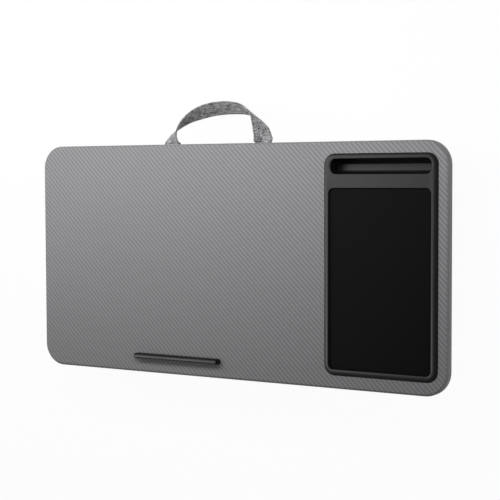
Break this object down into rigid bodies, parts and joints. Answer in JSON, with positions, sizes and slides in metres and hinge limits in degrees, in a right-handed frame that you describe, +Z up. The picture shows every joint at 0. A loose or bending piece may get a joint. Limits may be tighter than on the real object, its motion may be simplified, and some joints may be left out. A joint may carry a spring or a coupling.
{
  "type": "lap tray with cushion",
  "caption": "Flat lap tray with a phone slot and mouse pad at the right, a device ledge, a carry strap and a two-bolster cushion underneath.",
  "frame": {"origin": "centre of the board's top face, where a laptop stands", "axes": "+X to the user's right along the board's long side, +Y to the rear, towards the carry strap, +Z up out of the board's face"},
  "size_m": [0.6, 0.3554, 0.0813],
  "materials": {
    "fibre_board": "sawn fibre board",
    "twill_film": "satin printed film with a fine 45 degree twill",
    "liner_sheet": "matt black backing",
    "black_moulding": "satin moulded",
    "screw_steel": "zinc plated",
    "pad_rubber": "matt foam rubber",
    "pad_cloth": "fine knitted cloth",
    "hook_nylon": "hook tape",
    "loop_nylon": "loop tape",
    "cushion_backing": "non-woven",
    "piping_fabric": "woven",
    "cushion_fabric": "heathered woven",
    "strap_fabric": "heathered woven"
  },
  "bodies": {
    "tray": {"board_core": "fibre_board", "board_film": "twill_film", "underside_liner": "liner_sheet", "media_tray": "black_moulding", "tray_screws": "screw_steel", "mouse_pad_foam": "pad_rubber", "mouse_pad_cloth": "pad_cloth", "device_ledge": "black_moulding", "ledge_screws": "screw_steel", "hook_strips": "hook_nylon", "loop_strips": "loop_nylon", "cushion_panel": "cushion_backing", "cushion_piping": "piping_fabric", "cushion_bridge": "cushion_fabric", "bolster_left": "cushion_fabric", "bolster_right": "cushion_fabric", "handle_tab_left": "strap_fabric", "handle_tab_right": "strap_fabric"},
    "strap_loop": {"handle_strap": "strap_fabric"}
  },
  "joints": [
    {"name": "strap_swing", "type": "hinge", "parent": "tray", "child": "strap_loop", "pos_m": [-0.0243, 0.152, -0.013], "axis": [1, 0, 0], "range_deg": [-60, 55]}
  ]
}
